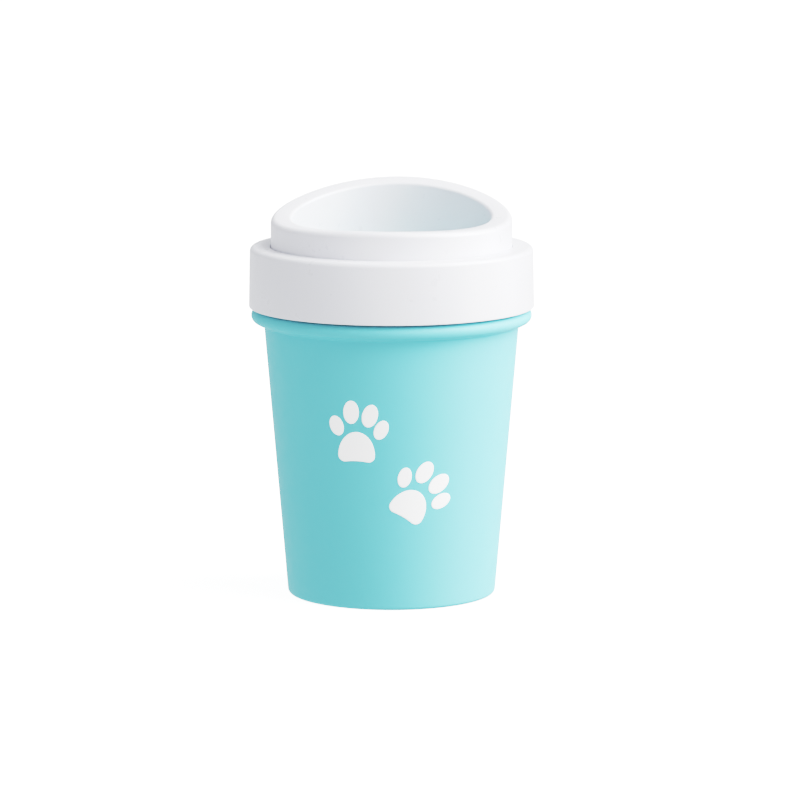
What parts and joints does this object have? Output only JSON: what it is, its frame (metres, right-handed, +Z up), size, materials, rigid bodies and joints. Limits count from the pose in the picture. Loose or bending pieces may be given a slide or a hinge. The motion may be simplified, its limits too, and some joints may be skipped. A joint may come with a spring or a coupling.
{
  "type": "paw washer cup",
  "caption": "Tapered cup with a screw-on lid, a slanted open mouth and a soft bristle sleeve inside, for rinsing a pet's paws.",
  "frame": {"origin": "on the cup's axis, at the table that its standing ring rests on", "axes": "+Z up along the cup's axis; the printed front faces -Y; the high side of the mouth faces +Y"},
  "size_m": [0.1002, 0.1002, 0.144],
  "materials": {
    "cup_plastic": "fine satin moulded polypropylene, light teal",
    "print_ink": "white screen-printed ink",
    "lid_plastic": "soft gloss white moulded polypropylene",
    "gasket_silicone": "matte translucent grey silicone",
    "brush_silicone": "matte pale teal silicone"
  },
  "bodies": {
    "cup": {"cup_shell": "cup_plastic", "upper_print_pad": "print_ink", "upper_print_toes": "print_ink", "lower_print_pad": "print_ink", "lower_print_toes": "print_ink"},
    "collar": {"mouth_collar": "lid_plastic", "lid_gasket": "gasket_silicone"},
    "ring": {"screw_ring": "lid_plastic"},
    "insert": {"brush_sleeve": "brush_silicone", "bristles_1": "brush_silicone", "bristles_2": "brush_silicone", "bristles_3": "brush_silicone", "bristles_4": "brush_silicone", "bristles_5": "brush_silicone", "bristles_6": "brush_silicone", "bristles_7": "brush_silicone", "bristles_8": "brush_silicone"}
  },
  "joints": [
    {"name": "lid_rise", "type": "slide", "parent": "cup", "child": "collar", "axis": [0, 0, 1], "range_m": [0, 0.018]},
    {"name": "ring_turn", "type": "hinge", "parent": "collar", "child": "ring", "pos_m": [0, 0, 0.112], "axis": [0, 0, 1], "range_deg": [0, 360]},
    {"name": "insert_lift", "type": "slide", "parent": "collar", "child": "insert", "axis": [0, 0, 1], "range_m": [0, 0.125]}
  ],
  "couplings": [
    {"joint": "lid_rise", "follows": "ring_turn", "m_per_rad": 0.0028648}
  ]
}
